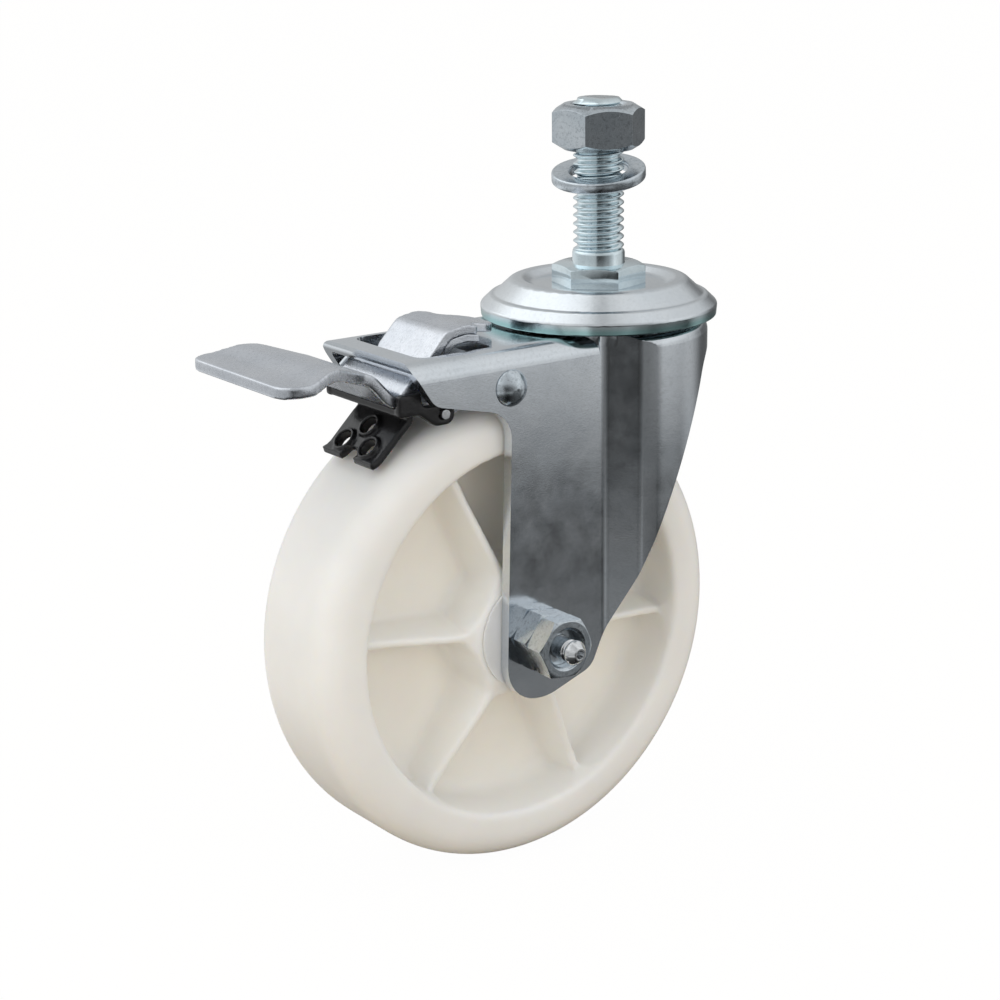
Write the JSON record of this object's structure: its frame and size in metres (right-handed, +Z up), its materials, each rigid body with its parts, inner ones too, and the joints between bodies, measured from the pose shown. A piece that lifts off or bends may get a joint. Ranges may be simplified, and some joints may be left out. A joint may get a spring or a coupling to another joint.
{
  "type": "threaded stem castor",
  "caption": "Swivel castor with a white ribbed wheel in a pressed zinc-plated fork, a threaded stem with nut and lock washer, and a foot brake pedal.",
  "frame": {"origin": "on the swivel axis, at the seat on top of the stem's hexagon", "axes": "+Z up the stem, +X away from the trailing wheel and pedal, -Y the side with the axle's nuts"},
  "size_m": [0.1151, 0.057, 0.1592],
  "materials": {
    "zinc_fork": "satin zinc plate",
    "zinc_cap": "satin zinc plate",
    "zinc_stem": "satin zinc plate",
    "zinc_hardware": "satin zinc plate",
    "zinc_pedal": "satin zinc plate",
    "nylon": "satin, slightly translucent",
    "black_steel": "semi-gloss black",
    "bearing_steel": "ground",
    "black_plastic": "matt"
  },
  "bodies": {
    "stem": {"stem_bolt": "zinc_stem", "stem_nut": "zinc_stem", "lock_washer": "zinc_stem", "swivel_cap": "zinc_cap", "upper_balls": "bearing_steel", "lower_balls": "bearing_steel", "lower_race": "bearing_steel"},
    "fork": {"fork": "zinc_fork", "axle": "zinc_hardware", "axle_nut_inner": "zinc_hardware", "axle_nut_outer": "zinc_hardware", "grease_fitting": "zinc_hardware", "spanner_bushing": "bearing_steel", "brake_rivet": "zinc_hardware", "thrust_washer_near": "bearing_steel", "thrust_washer_far": "bearing_steel"},
    "wheel": {"wheel": "nylon", "bearing_cage": "black_plastic", "bearing_rollers": "bearing_steel"},
    "pedal": {"pedal": "zinc_pedal", "lock_tongue": "zinc_pedal", "lock_leaf": "zinc_pedal", "brake_shoe": "black_steel", "shoe_pin": "bearing_steel", "shoe_spring": "black_steel"}
  },
  "joints": [
    {"name": "swivel", "type": "hinge", "parent": "stem", "child": "fork", "pos_m": [0, 0, 0], "axis": [0, 0, 1], "continuous": true},
    {"name": "wheel_spin", "type": "hinge", "parent": "fork", "child": "wheel", "pos_m": [-0.0296, 0, -0.0735], "axis": [0, 1, 0], "continuous": true},
    {"name": "brake_pedal", "type": "hinge", "parent": "fork", "child": "pedal", "pos_m": [-0.0359, 0, -0.0191], "axis": [0, -1, 0], "range_deg": [0, 2.4]}
  ]
}
